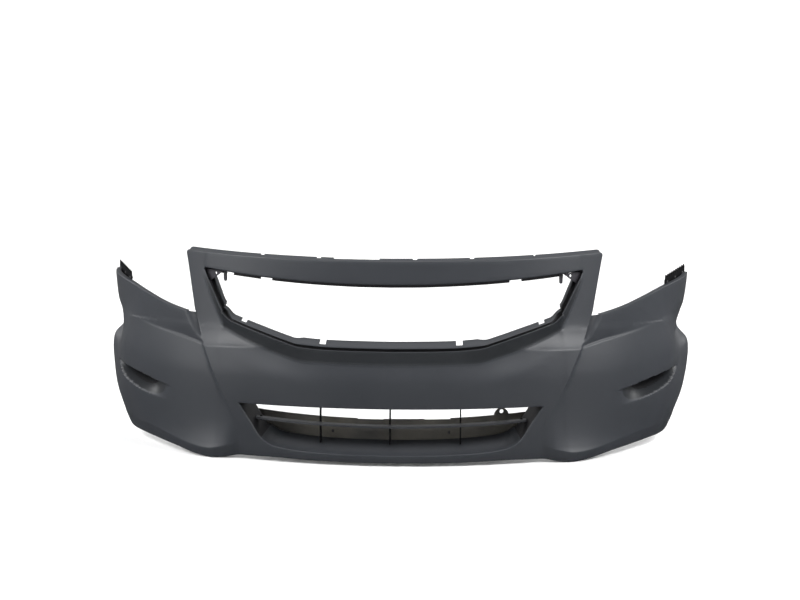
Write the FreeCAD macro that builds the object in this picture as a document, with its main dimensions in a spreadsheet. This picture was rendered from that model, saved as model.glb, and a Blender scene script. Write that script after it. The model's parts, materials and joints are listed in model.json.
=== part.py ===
import FreeCAD, Part
import math
import os
import Sketcher

# Front bumper cover, millimetres.
# X is lateral, Y runs rearward from the nose, Z is up. Every piece is drawn in the nose frame,
# whose origin is on the centre line under the foremost point, and is then moved by its Placement
# so that the row's origin is the bottom centre of the whole cover.

VECTOR = FreeCAD.Vector
doc = FreeCAD.newDocument("bumper_cover")

# ---------------------------------------------------------------- driving dimensions
sheet = doc.addObject("Spreadsheet::Sheet", "Sizes")
DRIVING = [
    ("wall", 3.0, "skin thickness of the moulding"),
    ("web", 2.5, "thickness of the returns and shelves"),
    ("setback", 337.2, "nose to the middle of the overall depth"),
    ("lift", 1.1, "raise that brings the lowest point of the sill to zero"),
    ("header_centre", 570.0, "top edge of the header on the centre line"),
    ("header_corner", 588.0, "top edge of the header at its corners"),
    ("corner_reach", 618.0, "half width over the header corners"),
    ("notch_reach", 583.0, "half width at the headlight notch"),
    ("notch_level", 411.0, "height of the headlight notch"),
    ("tip_reach", 922.0, "half width at the wing tip"),
    ("tip_level", 530.0, "height of the wing tip"),
    ("tip_rear", 676.0, "how far back the wing tip ends"),
    ("opening_top", 512.0, "lower edge of the header on the centre line"),
    ("opening_low", 323.0, "lower edge of the grille opening on the centre line"),
    ("grille_depth", 55.0, "depth of the return round the grille opening"),
    ("intake_top", 166.0, "top edge of the lower intake"),
    ("intake_low", 28.0, "lip edge of the lower intake on the centre line"),
    ("intake_reach", 438.0, "half width of the lower intake at its top"),
    ("floor_depth", 118.0, "depth of the intake floor"),
    ("floor_rise", 26.0, "rise of the intake floor to its rear edge"),
    ("flange_depth", 24.0, "depth of the mounting flange on the header"),
    ("flange_hole", 7.0, "diameter of the mounting flange holes"),
    ("middle_hole_offset", 67.0, "how far right of the centre line the middle flange hole is"),
    ("inner_hole_reach", 218.0, "half spacing of the inner flange holes"),
    ("outer_hole_reach", 388.0, "half spacing of the outer flange holes"),
    ("blade_level", 107.0, "height of the blade's upper face"),
    ("blade_height", 6.0, "thickness of the blade"),
    ("blade_depth", 26.0, "front to back size of the blade"),
    ("blade_reach", 388.0, "half length of the blade"),
    ("blade_nose", 48.0, "how far back the blade stands on the centre line"),
    ("blade_sweep", 62.0, "how much further back its ends stand"),
    ("blade_rise", 12.0, "how much higher its ends stand"),
    ("rib_width", 4.0, "thickness of an upright rib"),
    ("rib_spacing", 200.0, "distance between ribs"),
    ("rib_depth", 22.0, "front to back size of a rib"),
    ("guide_nose", 116.0, "how far back the air guide stands on the centre line"),
    ("guide_sweep", 78.0, "how much further back its ends stand"),
    ("guide_reach", 392.0, "half length of the air guide"),
    ("guide_top", 115.0, "top edge of the air guide"),
    ("guide_foot", 52.0, "lower edge of the air guide"),
    ("guide_rise", 12.0, "how much higher its ends stand"),
    ("guide_screw_reach", 167.0, "half spacing of the two screws in the air guide"),
    ("guide_screw_level", 76.0, "height of the two screws"),
    ("bracket_long", 74.0, "width of a corner bracket"),
    ("bracket_tall", 34.0, "height of a corner bracket"),
    ("bracket_hole", 8.0, "diameter of the bracket holes"),
    ("retainer_long", 262.0, "length of a side retainer"),
    ("retainer_tall", 34.0, "height of a side retainer"),
    ("fastener_radius", 4.0, "shank radius of the screws and rivets"),
    ("head_radius", 7.0, "head radius of the screws and rivets"),
]
for row, (alias, value, meaning) in enumerate(DRIVING, start=1):
    sheet.set("A%d" % row, meaning)
    sheet.set("B%d" % row, str(value))
    sheet.setAlias("B%d" % row, alias)

# Sections of the skin from the sill up: height, half width, depth of the wrap, setback of the nose.
SECTION_NAMES = ("sill", "lip", "intake", "belt", "nose", "grille", "header", "crown")
SECTIONS = [
    (0.0, 858.0, 650.0, 14.0),
    (32.0, 876.0, 650.0, 10.0),
    (130.0, 911.0, 651.0, 5.0),
    (240.0, 921.0, 653.0, 0.0),
    (290.0, 924.0, 655.0, 6.0),
    (392.0, 916.0, 672.0, 22.0),
    (512.0, 924.0, 705.0, 50.0),
    (612.0, 931.0, 726.0, 70.0),
]
for number, (place, section) in enumerate(zip(SECTION_NAMES, SECTIONS)):
    row = len(DRIVING) + 2 + number
    sheet.set("A%d" % row, "section at the " + place)
    for column, quantity, value in zip("BCDE", ("level", "reach", "wrap", "back"), section):
        sheet.set("%s%d" % (column, row), str(value))
        sheet.setAlias("%s%d" % (column, row), place + "_section_" + quantity)
doc.recompute()


def size(alias):
    """A driving dimension, read from the sheet."""
    return float(sheet.get(alias))


SETBACK = size("setback")
LIFT = size("lift")
WALL = size("wall")
WEB = size("web")


# ---------------------------------------------------------------- the skin as a formula
def smooth(share):
    """Goes from 0 to 1 with level ends."""
    share = min(1.0, max(0.0, share))
    return share * share * (3.0 - 2.0 * share)


def flowing(points, place):
    """A smooth curve through (place, value) points, level with their mean slopes."""
    places = [point[0] for point in points]
    values = [point[1] for point in points]
    if place <= places[0]:
        return values[0]
    if place >= places[-1]:
        return values[-1]
    last = len(places) - 1
    index = max(i for i in range(last) if places[i] <= place)

    def slope(i):
        low, high = max(0, i - 1), min(last, i + 1)
        return (values[high] - values[low]) / (places[high] - places[low])

    span = places[index + 1] - places[index]
    t = (place - places[index]) / span
    rise = values[index + 1] - values[index]
    first, second = slope(index) * span, slope(index + 1) * span
    return values[index] + first * t + (3 * rise - 2 * first - second) * t * t \
        + (first + second - 2 * rise) * t ** 3


def straight(points, place):
    """A broken line through (place, value) points."""
    if place <= points[0][0]:
        return points[0][1]
    for (a, low), (b, high) in zip(points, points[1:]):
        if place <= b:
            return low + (high - low) * (place - a) / (b - a)
    return points[-1][1]


REACH = [(size(n + "_section_level"), size(n + "_section_reach")) for n in SECTION_NAMES]
WRAP = [(size(n + "_section_level"), size(n + "_section_wrap")) for n in SECTION_NAMES]
BACK = [(size(n + "_section_level"), size(n + "_section_back")) for n in SECTION_NAMES]

# Character lines of the skin, each as (place, value) points.
PILLAR_LINE = [(57, 414), (125, 445), (195, 485), (302, 533), (411, 583), (600, 622)]
PILLAR_STEP = [(40, 0), (150, 4), (300, 6), (400, 10), (600, 10)]
PILLAR_BLEND = [(60, 50), (300, 34), (400, 9), (600, 9)]
SHOULDER_LINE = [(540, 318), (611, 337), (666, 347), (723, 358), (800, 376)]
SCOOP_TOP = [(637, 194), (692, 201), (741, 212), (800, 224), (856, 236)]
SCOOP_LOW = [(637, 146), (671, 151), (726, 159), (778, 171), (817, 176), (856, 202)]
SKIRT_LINE = [(414, 57), (510, 34), (587, 41), (669, 54), (755, 66), (870, 68)]
FACET_LINE = [(0, 287), (180, 290), (272, 297), (491, 377), (512, 416), (535, 465), (552, 511)]
FACET_LEAN = [(0, 3), (200, 5), (300, 10), (430, 15), (491, 13), (520, 7), (545, 2)]
FACET_SPREAD = 64.0

REAR_LINE = [(0, 440), (62, 508), (160, 548), (270, 592), (372, 640), (440, 670), (700, 676)]
WAIST = [(20, 8), (90, 25), (150, 36), (240, 44), (320, 47), (365, 29), (405, 10), (465, 2), (540, 0)]
FLARE = [(26, 0), (91, 10), (154, 26), (218, 38), (281, 41), (310, 32), (340, 3), (360, 0)]


def relief(x, z, y):
    """How far the skin stands out from its plain wrap at a place."""
    x = abs(x)
    out = 0.0
    line = flowing(PILLAR_LINE, z)
    beyond = x - line
    if beyond > 0:
        recover = 1.0 - smooth(beyond / 190.0)
        out -= straight(PILLAR_STEP, z) * smooth(beyond / straight(PILLAR_BLEND, z)) * recover
        ledge = flowing(SHOULDER_LINE, x)
        out -= 9.0 * smooth((z - ledge) / 16.0) * smooth(beyond / 20.0) * (1 - smooth((x - 640) / 150))
        crease = flowing(SKIRT_LINE, x)
        out += 7.0 * smooth((crease - z) / 24.0) * smooth(beyond / 30.0)
    if 637 < x < 862:
        top = straight(SCOOP_TOP, x)
        low = straight(SCOOP_LOW, x)
        along = (x - 637) / 205.0
        depth = 62.0 * smooth(along) ** 1.4 * (1.0 - smooth((x - 846) / 14.0))
        slope = (z - low) / (top - low)
        out -= depth * smooth(slope) * (1.0 - smooth((z - top + 4) / 8.0))
    under = flowing(FACET_LINE, min(x, 552)) - z
    lean = flowing(FACET_LEAN, x) * (1.0 - smooth((x - 530) / 30.0))
    out -= lean * (1.0 - smooth(abs(under) / (FACET_SPREAD if under > 0 else FACET_SPREAD * 0.6)))
    ahead = max(0.0, straight(REAR_LINE, z) - y)
    out -= flowing(WAIST, z) * smooth((y - 360) / 200.0)
    out += flowing(FLARE, z + 0.4 * ahead) * (1.0 - smooth(ahead / 120.0))
    return out


def wrap_point(turn, z):
    """A point of the plain wrap: turn is the angle round it from the nose, z the height."""
    reach, wrap, back = flowing(REACH, z), flowing(WRAP, z), flowing(BACK, z)
    return VECTOR(reach * math.sin(turn), back + wrap * (1 - math.cos(turn)), z)


def skin_point(turn, z, inward=0.0):
    """A point of the skin, or of the face a wall thickness inside it."""
    point = wrap_point(turn, z)
    step = 0.004
    run = wrap_point(turn + step, z) - wrap_point(turn - step, z)
    rise = wrap_point(turn, z + 1.0) - wrap_point(turn, z - 1.0)
    normal = run.cross(rise)
    normal.normalize()
    point = point + normal * (relief(point.x, z, point.y) - inward)
    return point


def skin_y(x, z):
    """The depth of the skin behind a front-view place."""
    reach = flowing(REACH, z)
    turn = math.asin(max(-0.999, min(0.999, x / reach)))
    for _ in range(4):
        error = x - skin_point(turn, z).x
        turn += error / (reach * max(0.05, math.cos(turn)))
        turn = max(-1.55, min(1.55, turn))
    return skin_point(turn, z).y


# ---------------------------------------------------------------- shape helpers
def curve(points):
    """An edge through points: a line through two, a smooth curve through more."""
    if len(points) == 2:
        return Part.makeLine(points[0], points[1])
    spline = Part.BSplineCurve()
    spline.interpolate(points)
    return spline.toShape()


def front_prism(pieces, near=-80.0, far=900.0):
    """A solid cut through from the front: its outline is pieces of (x, z) points."""
    edges = [curve([VECTOR(x, near, z) for x, z in piece]) for piece in pieces]
    return Part.Face(Part.Wire(edges)).extrude(VECTOR(0, far - near, 0))


def side_prism(pieces, near, far):
    """A solid cut through from the side: its outline is pieces of (y, z) points."""
    edges = [curve([VECTOR(near, y, z) for y, z in piece]) for piece in pieces]
    return Part.Face(Part.Wire(edges)).extrude(VECTOR(far - near, 0, 0))


def mirrored(points):
    """The same outline on the other side, in reverse order so that a ring closes."""
    return [(-x, z) for x, z in reversed(points)]


def shelf(front, rear, across):
    """A thin wall between a front line and a rear line, as thick as the vector across."""
    face = Part.makeRuledSurface(curve(front), curve(rear))
    return face.extrude(across)


def on_skin(outline, set_in=0.6):
    """Points of a front-view outline laid on the skin."""
    return [VECTOR(x, skin_y(x, z) + set_in, z) for x, z in outline]


def spread(start, end, count):
    """Evenly spaced places from start to end."""
    return [start + (end - start) * i / (count - 1) for i in range(count)]


# ---------------------------------------------------------------- fascia
TURNS = spread(-1.52, 1.52, 81)
SHARES = spread(0.0, 1.0, 31)


def bottom_level_line():
    """Right half of the bottom edge."""
    return [(0, 8), (200, 9), (365, 11), (437, 3), (500, 0), (555, 6), (615, 17), (700, 25),
            (786, 30), (940, 38)]


def header_level(x):
    """Height of the header's top edge."""
    rise = size("header_corner") - size("header_centre")
    return size("header_centre") + rise * (abs(x) / size("corner_reach")) ** 2


def skin_column(turn, inward):
    """Skin points on one upright line, from the bottom edge to the height of the header."""
    x = 905.0 * math.sin(turn)
    low = flowing(bottom_level_line(), abs(x))
    high = header_level(min(abs(x), size("corner_reach")))
    return [skin_point(turn, low + (high - low) * share, inward) for share in SHARES]


def skin_surface(inward):
    """One smooth surface through the skin points."""
    surface = Part.BSplineSurface()
    surface.interpolate([skin_column(turn, inward) for turn in TURNS])
    return surface


def skin_solid():
    """The closed shell between the outer and the inner face."""
    outer, inner = skin_surface(0.0), skin_surface(WALL)
    faces = [outer.toShape(), inner.toShape()]
    u_low, u_high, v_low, v_high = outer.bounds()
    for u in (u_low, u_high):
        faces.append(Part.makeRuledSurface(outer.uIso(u).toShape(), inner.uIso(u).toShape()))
    for v in (v_low, v_high):
        faces.append(Part.makeRuledSurface(outer.vIso(v).toShape(), inner.vIso(v).toShape()))
    shell = Part.Shell(faces)
    shell.sewShape()
    solid = Part.Solid(shell)
    if solid.Volume < 0:
        solid.reverse()
    return solid


def opening_half():
    """Right half of the grille opening's lower and side edge, from the centre up."""
    low = size("opening_low")
    return [[(0, low), (110, low + 1), (200, low + 4), (262, low + 8)],
            [(262, low + 8), (470, low + 73)],
            [(470, low + 73), (495, low + 101), (527, low + 156), (556, low + 207)]]


def opening_head(x):
    """Height of the header's lower edge."""
    return size("opening_top") + 34.0 * (abs(x) / 560.0) ** 2


def opening_prism():
    sides = opening_half()
    last = sides[-1][-1]
    corner = (562.0, opening_head(562.0))
    head = [(x, opening_head(x)) for x in spread(corner[0], -corner[0], 9)]
    ring = sides + [[last, corner], head, [(-corner[0], corner[1]), (-last[0], last[1])]]
    ring += [mirrored(piece) for piece in reversed(sides)]
    return front_prism(ring)


def intake_half():
    """Right half of the lower intake's edge, from the lip on the centre line up."""
    low, top, reach = size("intake_low"), size("intake_top"), size("intake_reach")
    return [[(0, low), (150, low + 1), (270, low + 6), (336, low + 16), (372, low + 34)],
            [(372, low + 34), (reach, top)]]


def intake_prism():
    sides = intake_half()
    reach, top = size("intake_reach"), size("intake_top")
    ring = sides + [[(reach, top), (-reach, top)]]
    ring += [mirrored(piece) for piece in reversed(sides)]
    return front_prism(ring, far=400.0)


def headlight_prism():
    """What lies above the right wing and outside the right pillar."""
    notch = (size("notch_reach"), size("notch_level"))
    corner = (size("corner_reach"), size("header_corner"))
    pillar = [notch, (590, 440), (604, 515), corner]
    wing = [(960, size("tip_level") + 14), (size("tip_reach"), size("tip_level")), (822, 483),
            (755, 459), (672, 431), (610, 414), notch]
    far_corner = (960, 720)
    return front_prism([pillar, [corner, (corner[0], 720)], [(corner[0], 720), far_corner],
                        [far_corner, wing[0]], wing])


def arch_prism():
    """What lies behind the rear edge of the wings, on both sides at once."""
    rear = size("tip_rear")
    seam = [(rear, 560), (rear - 6, 440)]
    arch = [(rear - 6, 440), (640, 372), (592, 270), (548, 160), (508, 62), (452, 24)]
    foot = [(452, 24), (440, -40)]
    return side_prism([seam, arch, foot, [(440, -40), (1000, -40)], [(1000, -40), (1000, 560)],
                       [(1000, 560), (rear, 560)]], -1000, 1000)


def both(solid):
    """A solid and its mirror image across the centre plane."""
    return [solid, solid.mirror(VECTOR(0, 0, 0), VECTOR(1, 0, 0))]


def header_flange():
    """The mounting flange, rising a little to its rear edge, with its holes and notch."""
    places = spread(-596.0, 596.0, 13)
    depth = size("flange_depth")
    front = [VECTOR(x, skin_y(x, header_level(x) - 4) + 1.0, header_level(x) - 4) for x in places]
    rear = [VECTOR(x, p.y + depth, p.z + 7.0) for x, p in zip(places, front)]
    flange = shelf(front, rear, VECTOR(0, 0, WEB))
    cutters = []
    inner, outer = size("inner_hole_reach"), size("outer_hole_reach")
    for x in (-outer, -inner, size("middle_hole_offset"), inner, outer):
        y = skin_y(x, header_level(x)) + depth * 0.62
        cutters.append(Part.makeCylinder(size("flange_hole") / 2, 40, VECTOR(x, y, 560)))
    notch_y = skin_y(-98, header_level(98)) + depth * 0.45
    cutters.append(Part.makeBox(130, 60, 60, VECTOR(-163, notch_y, 550)))
    return flange.cut(Part.makeCompound(cutters))


def grille_return():
    """The return behind the lower and side edges of the grille opening."""
    depth = size("grille_depth")
    lift = [(0, 24), (262, 14), (470, 7), (556, 3)]
    walls = []
    for piece in opening_half():
        front = on_skin(piece)
        rear = []
        for point in front:
            pull = 1.0 - 0.02 * abs(point.x) / 560.0
            rear.append(VECTOR(point.x * pull, point.y + depth, point.z + straight(lift, point.x)))
        walls += both(shelf(front, rear, VECTOR(0, 0, -WEB * 1.4)))
    return walls


def header_return():
    """The shelf under the header, with its hanging slotted edge."""
    places = spread(-556.0, 556.0, 11)
    front = [VECTOR(x, skin_y(x, opening_head(x)) + 0.8, opening_head(x) + 0.6) for x in places]
    rear = [VECTOR(p.x, p.y + 22.0, p.z + 1.0) for p in front]
    plate = shelf(front, rear, VECTOR(0, 0, WEB))
    edge = [VECTOR(p.x, p.y - WEB - 1.5, p.z + 1.2) for p in rear]
    low = [VECTOR(p.x, p.y, p.z - 9.0) for p in edge]
    hanging = shelf(edge, low, VECTOR(0, WEB, 0))
    slots = []
    for x in (-470, -290, 290, 470):
        y = skin_y(x, opening_head(x)) + 22.0
        slots.append(Part.makeBox(26, 60, 4, VECTOR(x - 13, y - 40, opening_head(x) - 5)))
    return [plate, hanging.cut(Part.makeCompound(slots))]


def intake_walls():
    """Roof, cheeks and floor of the lower intake."""
    walls = []
    top, reach = size("intake_top"), size("intake_reach")
    places = spread(-reach - 2, reach + 2, 11)
    front = [VECTOR(x, skin_y(x, top) + 0.8, top - 1.0) for x in places]
    rear = [VECTOR(x * 0.92, p.y + 60.0, top + 3.0) for x, p in zip(places, front)]
    walls.append(shelf(front, rear, VECTOR(0, 0, WEB)))
    depth, rise = size("floor_depth"), size("floor_rise")
    for piece in intake_half():
        if piece[-1][0] == reach:
            piece = [piece[0], (reach + 1.3, top + 2.05)]
        front = [VECTOR(p.x, p.y, p.z - 0.3) for p in on_skin(piece)]
        rear = []
        for x, z in piece:
            depth_here = depth * (1.0 - 0.12 * (x / reach) ** 2)
            share = (z - size("intake_low")) / (top - size("intake_low"))
            y = skin_y(x, z) + depth_here
            rear.append(VECTOR(x * (1.0 - 0.09 * x / reach), y, z + rise * (1.0 - share)))
        walls += both(shelf(front, rear, VECTOR(0, 0, -WEB * 1.8)))
    return walls


def sill_return():
    """The narrow return along the bottom edge."""
    places = spread(0.0, 1.0, 7)
    line = bottom_level_line()
    front = []
    for share in places:
        x = 690.0 * share
        front.append(VECTOR(x, skin_y(x, flowing(line, x) + 1.5) + 0.8, flowing(line, x) + 1.0))
    rear = [VECTOR(p.x * 0.985, p.y + 22.0, p.z + 2.5) for p in front]
    return both(shelf(front, rear, VECTOR(0, 0, WEB)))


def wing_return():
    """The narrow return along the top edge of a wing, which the side retainer sits on."""
    line = [(600, 412), (672, 430), (755, 458), (822, 482), (880, 507)]
    front = [VECTOR(x, skin_y(x, z - 2) + 1.0, z - 3.0) for x, z in line]
    rear = [VECTOR(p.x - 9.0, p.y + 13.0, p.z) for p in front]
    return both(shelf(front, rear, VECTOR(0, 0, -WEB)))


def make_fascia():
    """The whole moulding as one closed solid."""
    shape = skin_solid()
    for cutter in [opening_prism(), intake_prism(), arch_prism()] + both(headlight_prism()):
        shape = shape.cut(cutter)
    pieces = [header_flange()] + grille_return() + header_return() + intake_walls()
    pieces += sill_return() + wing_return()
    shape = shape.fuse(pieces)
    return max(shape.Solids, key=lambda solid: solid.Volume)


# ---------------------------------------------------------------- document helpers
class Dim:
    """A number together with the sheet expression that it comes from."""

    def __init__(self, value, text):
        self.value = float(value)
        self.text = text

    def __add__(self, other):
        return joined(self, other, "+", self.value + plain(other).value)

    def __sub__(self, other):
        return joined(self, other, "-", self.value - plain(other).value)

    def __mul__(self, other):
        return joined(self, other, "*", self.value * plain(other).value)

    def __neg__(self):
        return Dim(-self.value, "(0 - %s)" % self.text)


def plain(number):
    return number if isinstance(number, Dim) else Dim(number, "%.4f" % number)


def joined(first, second, sign, value):
    return Dim(value, "(%s %s %s)" % (first.text, sign, plain(second).text))


def dim(alias):
    """A cell of the sheet as a Dim."""
    return Dim(size(alias), "Sizes." + alias)


SUBPARTS = []


def settle(piece, x=0.0, y=0.0, z=0.0, turn=None):
    """Places a piece: the common move to the row's origin, bound to the sheet, plus its own."""
    spot = VECTOR(x, y - SETBACK, z + LIFT)
    piece.Placement = FreeCAD.Placement(spot, turn or FreeCAD.Rotation())
    piece.setExpression("Placement.Base.y", "%.4f - Sizes.setback" % y)
    piece.setExpression("Placement.Base.z", "%.4f + Sizes.lift" % z)
    SUBPARTS.append(piece)
    return piece


def new_body(label):
    body = doc.addObject("PartDesign::Body", label)
    body.Label = label
    return body


def new_sketch(body, name, plane):
    """A sketch on one of the body's own origin planes."""
    sketch = body.newObject("Sketcher::SketchObject", name)
    sides = [f for f in body.Origin.OriginFeatures if f.Role == plane]
    sketch.AttachmentSupport = [(sides[0], "")]
    sketch.MapMode = "FlatFace"
    return sketch


def bind(sketch, kind, *arguments):
    """A driving constraint whose last argument is a Dim."""
    amount = plain(arguments[-1])
    index = sketch.addConstraint(Sketcher.Constraint(kind, *arguments[:-1], amount.value))
    sketch.setExpression("Constraints[%d]" % index, amount.text)


def ring(sketch, corners, bulges=None):
    """A closed outline: corners are (Dim, Dim), bulges maps a side's number to an arc's middle."""
    bulges = bulges or {}
    corners = [(plain(a), plain(b)) for a, b in corners]
    spots = [VECTOR(a.value, b.value, 0) for a, b in corners]
    sides = []
    for number, start in enumerate(spots):
        end = spots[(number + 1) % len(spots)]
        if number in bulges:
            middle = [plain(value) for value in bulges[number]]
            arc = Part.Arc(start, VECTOR(middle[0].value, middle[1].value, 0), end)
            sides.append(sketch.addGeometry(arc))
        else:
            sides.append(sketch.addGeometry(Part.LineSegment(start, end)))
    for number, (a, b) in enumerate(corners):
        side = sides[number]
        tip = 1
        if number in bulges:
            at_start = sketch.getPoint(side, 1).distanceToPoint(spots[number]) < 1e-6
            tip = 1 if at_start else 2
        before = sides[number - 1]
        ends = [sketch.getPoint(before, n).distanceToPoint(spots[number]) for n in (1, 2)]
        other = 1 if ends[0] < ends[1] else 2
        sketch.addConstraint(Sketcher.Constraint("Coincident", before, other, side, tip))
        bind(sketch, "DistanceX", -1, 1, side, tip, a)
        bind(sketch, "DistanceY", -1, 1, side, tip, b)


def disc(sketch, across, up, radius):
    """A circle held by its centre and radius."""
    across, up, radius = plain(across), plain(up), plain(radius)
    centre = VECTOR(across.value, up.value, 0)
    side = sketch.addGeometry(Part.Circle(centre, VECTOR(0, 0, 1), radius.value))
    bind(sketch, "DistanceX", -1, 1, side, 3, across)
    bind(sketch, "DistanceY", -1, 1, side, 3, up)
    bind(sketch, "Radius", side, radius)


def pad(body, sketch, name, length, midplane=False, backwards=False):
    feature = body.newObject("PartDesign::Pad", name)
    feature.Profile = sketch
    feature.Length = plain(length).value
    feature.setExpression("Length", plain(length).text)
    feature.Midplane = midplane
    feature.Reversed = backwards
    sketch.Visibility = False
    return feature


def pocket_through(body, sketch, name):
    """A pocket through everything, both ways."""
    feature = body.newObject("PartDesign::Pocket", name)
    feature.Profile = sketch
    feature.Type = "ThroughAll"
    feature.Midplane = True
    sketch.Visibility = False
    return feature


# ---------------------------------------------------------------- fascia
fascia = doc.addObject("Part::Feature", "fascia")
fascia.Shape = make_fascia()
settle(fascia)


# ---------------------------------------------------------------- lower intake
def curved_bar(label, reach, nose, sweep, depth, height, level, rise=None):
    """A bar that follows the nose in plan; its ends may stand higher than its middle."""
    body = new_body(label)
    plan = new_sketch(body, label + "_plan", "XY_Plane")
    back = nose + sweep
    ring(plan, [(-reach, back), (reach, back), (reach, back + depth), (-reach, back + depth)],
         {0: (0, nose), 2: (0, nose + depth)})
    pad(body, plan, label + "_pad", height + rise if rise else height)
    if rise:
        trims = new_sketch(body, label + "_trims", "XZ_Plane")
        past = reach + 2.0
        ring(trims, [(-past, rise), (past, rise), (past, -6.0), (-past, -6.0)], {0: (0, 0)})
        over = rise + height
        ring(trims, [(-past, over), (past, over), (past, over + 6.0), (-past, over + 6.0)],
             {0: (0, height)})
        pocket_through(body, trims, label + "_trim_pocket")
    settle(body, z=level.value)
    body.setExpression("Placement.Base.z", (level + dim("lift")).text)
    return body


curved_bar("intake_blade", dim("blade_reach"), dim("blade_nose"), dim("blade_sweep"),
           dim("blade_depth"), dim("blade_height"), dim("blade_level") - dim("blade_height"),
           dim("blade_rise"))

guide = curved_bar("air_guide", dim("guide_reach"), dim("guide_nose"), dim("guide_sweep"),
                   dim("web"), dim("guide_top") - dim("guide_foot"), dim("guide_foot"),
                   dim("guide_rise"))
notches = new_sketch(guide, "air_guide_notches", "XZ_Plane")
guide_tall = dim("guide_top") - dim("guide_foot")
for left, right, drop in ((-96, -20, 1.5), (96, 172, 1.0)):
    ring(notches, [(left, guide_tall - drop), (right, guide_tall - drop),
                   (right - 6, guide_tall + 9), (left + 6, guide_tall + 9)])
pocket_through(guide, notches, "air_guide_notch_pocket")

RIB_NAMES = {-1: "intake_rib_left", 0: "intake_rib_centre", 1: "intake_rib_right"}
for side, label in RIB_NAMES.items():
    body = new_body(label)
    profile = new_sketch(body, label + "_profile", "YZ_Plane")
    front = dim("blade_nose") + dim("blade_depth") + 1.0
    rear = front + dim("rib_depth")
    ring(profile, [(front, 49.0), (rear, 54.0), (rear, dim("intake_top") + 1.0),
                   (front, dim("intake_top") - 0.5)])
    pad(body, profile, label + "_pad", dim("rib_width"), midplane=True)
    sweep = size("blade_sweep") * (size("rib_spacing") / size("blade_reach")) ** 2
    settle(body, x=side * size("rib_spacing"), y=abs(side) * sweep)
    body.setExpression("Placement.Base.x", "%d * Sizes.rib_spacing" % side)

loop = new_body("guide_loop")
face = new_sketch(loop, "guide_loop_face", "XZ_Plane")
ring(face, [(-22, 0), (22, 0), (20, 6), (-20, 6)], {2: (0, 20)})
pad(loop, face, "guide_loop_pad", dim("web") * 2, midplane=True)
eye = new_sketch(loop, "guide_loop_eye", "XZ_Plane")
disc(eye, 0, 10, 6)
pocket_through(loop, eye, "guide_loop_eye_pocket")
LOOP_REACH = 318.0
guide_back = size("guide_nose") + size("guide_sweep") * (LOOP_REACH / size("guide_reach")) ** 2
settle(loop, x=LOOP_REACH, y=guide_back + size("web") * 2, z=size("guide_top") + 6.0,
       turn=FreeCAD.Rotation(VECTOR(0, 0, 1), 13.0))
loop.setExpression("Placement.Base.z", "Sizes.guide_top + 6 + Sizes.lift")

# ---------------------------------------------------------------- grille opening corners
SIDES = {-1: "left", 1: "right"}
for side, name in SIDES.items():
    bracket = new_body("corner_bracket_" + name)
    plate = new_sketch(bracket, "corner_bracket_%s_plate" % name, "XZ_Plane")
    long, tall = dim("bracket_long"), dim("bracket_tall")
    ring(plate, [(long * (-0.86 * side), tall * 0.46), (long * (-0.2 * side), tall * -0.42),
                 (long * (-0.42 * side), tall * -1.3), (long * (-0.02 * side), tall * -1.0),
                 (long * (0.2 * side), tall * 0.1), (long * (0.14 * side), tall * 0.58)])
    pad(bracket, plate, "corner_bracket_%s_pad" % name, dim("web"))
    eyes = new_sketch(bracket, "corner_bracket_%s_eyes" % name, "XZ_Plane")
    disc(eyes, dim("bracket_long") * (-0.5 * side), dim("bracket_tall") * 0.26,
         dim("bracket_hole") * 0.5)
    disc(eyes, dim("bracket_long") * (-0.14 * side), dim("bracket_tall") * -0.72,
         dim("bracket_hole") * 0.5)
    pocket_through(bracket, eyes, "corner_bracket_%s_eye_pocket" % name)
    settle(bracket, x=side * 541.0, y=skin_y(541.0, 516.0) + 26.0, z=516.0,
           turn=FreeCAD.Rotation(VECTOR(0, 0, 1), side * 34.0))

    tab = new_body("corner_tab_" + name)
    profile = new_sketch(tab, "corner_tab_%s_profile" % name, "XZ_Plane")
    ring(profile, [(-5, 0), (5, 0), (6, 26), (-6, 26)], {0: (0, -4)})
    pad(tab, profile, "corner_tab_%s_pad" % name, dim("web") * 1.2, midplane=True)
    settle(tab, x=side * 484.0, y=skin_y(484.0, 530.0) + 26.5, z=506.0,
           turn=FreeCAD.Rotation(VECTOR(0, 0, 1), side * 28.0))

# ---------------------------------------------------------------- side retainers
TEETH = 10
for side, name in SIDES.items():
    retainer = new_body("side_retainer_" + name)
    rail = new_sketch(retainer, "side_retainer_%s_rail" % name, "XZ_Plane")
    long, tall = dim("retainer_long"), dim("retainer_tall")
    outline = [(0, 0), (long * side, 0), (long * side, tall * 0.8)]
    for tooth in range(TEETH, 0, -1):
        here = side * (tooth - 0.5) / TEETH
        outline += [(long * (here + 0.34 * side / TEETH), tall),
                    (long * (here - 0.10 * side / TEETH), tall),
                    (long * (here - 0.26 * side / TEETH), tall * 0.62)]
    outline += [(0, tall * 0.62)]
    ring(rail, outline)
    pad(retainer, rail, "side_retainer_%s_pad" % name, dim("web"))
    eyes = new_sketch(retainer, "side_retainer_%s_eyes" % name, "XZ_Plane")
    for share in (0.12, 0.5, 0.88):
        disc(eyes, long * (share * side), tall * 0.32, dim("fastener_radius") * 0.62)
    pocket_through(retainer, eyes, "side_retainer_%s_eye_pocket" % name)
    start = VECTOR(side * 812.0, skin_y(812.0, 488.0) + 14.0, 470.0)
    end = VECTOR(side * 905.0, 664.0, 486.0)
    along = end - start
    along.normalize()
    heading = math.degrees(math.atan2(along.y, along.x * side))
    pitch = math.degrees(math.asin(along.z))
    turn = FreeCAD.Rotation(VECTOR(0, 0, 1), side * heading)
    tilt = FreeCAD.Rotation(VECTOR(0, 1, 0), -side * pitch)
    settle(retainer, x=start.x, y=start.y, z=start.z, turn=turn.multiply(tilt))

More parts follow.
